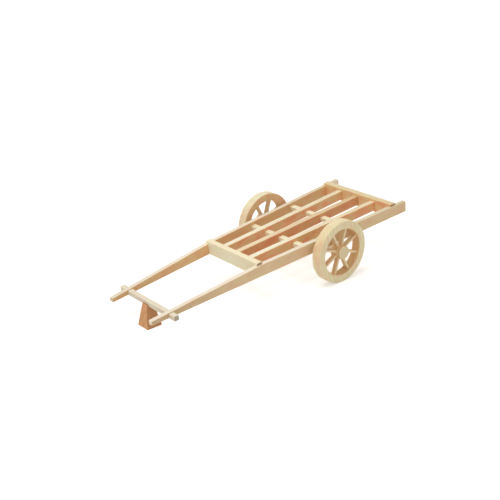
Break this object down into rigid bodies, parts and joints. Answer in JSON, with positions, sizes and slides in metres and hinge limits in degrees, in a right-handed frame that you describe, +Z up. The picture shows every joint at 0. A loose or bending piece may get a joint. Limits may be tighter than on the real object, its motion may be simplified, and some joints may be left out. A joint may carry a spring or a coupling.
{
  "type": "hand cart",
  "caption": "Small plain wooden model of a hand cart with two spoked wheels, a slatted bed between splayed side rails, tapered shafts with a crossbar, and a notched prop block",
  "frame": {"origin": "on the floor, under the middle of the bounding box", "axes": "+X forward toward the shafts' grips, +Y to the cart's left, +Z up; the floor is z = 0"},
  "size_m": [0.3108, 0.1244, 0.063],
  "materials": {
    "rail_wood": "bare, sanded, pale",
    "small_wood": "bare, sanded",
    "wheel_wood": "bare, sanded, pale",
    "prop_wood": "bare, reddish"
  },
  "bodies": {
    "chassis": {"axle": "small_wood", "axle_cap_left": "small_wood", "axle_cap_right": "small_wood", "crossbar": "small_wood", "end_board_front": "rail_wood", "end_board_rear": "rail_wood", "prop_block": "prop_wood", "rung_front": "small_wood", "rung_rear": "small_wood", "side_rail_left": "rail_wood", "side_rail_right": "rail_wood", "slat_left": "rail_wood", "slat_middle": "rail_wood", "slat_right": "rail_wood"},
    "wheel_left": {"wheel_left_hub": "wheel_wood", "wheel_left_rim": "wheel_wood", "wheel_left_spoke_1": "wheel_wood", "wheel_left_spoke_2": "wheel_wood", "wheel_left_spoke_3": "wheel_wood", "wheel_left_spoke_4": "wheel_wood", "wheel_left_spoke_5": "wheel_wood", "wheel_left_spoke_6": "wheel_wood", "wheel_left_spoke_7": "wheel_wood", "wheel_left_spoke_8": "wheel_wood"},
    "wheel_right": {"wheel_right_hub": "wheel_wood", "wheel_right_rim": "wheel_wood", "wheel_right_spoke_1": "wheel_wood", "wheel_right_spoke_2": "wheel_wood", "wheel_right_spoke_3": "wheel_wood", "wheel_right_spoke_4": "wheel_wood", "wheel_right_spoke_5": "wheel_wood", "wheel_right_spoke_6": "wheel_wood", "wheel_right_spoke_7": "wheel_wood", "wheel_right_spoke_8": "wheel_wood"}
  },
  "joints": [
    {"name": "wheel_left_spin", "type": "hinge", "parent": "chassis", "child": "wheel_left", "pos_m": [-0.05197, 0.055, 0.0315], "axis": [0, 1, 0], "continuous": true},
    {"name": "wheel_right_spin", "type": "hinge", "parent": "chassis", "child": "wheel_right", "pos_m": [-0.05197, -0.055, 0.0315], "axis": [0, 1, 0], "continuous": true}
  ]
}
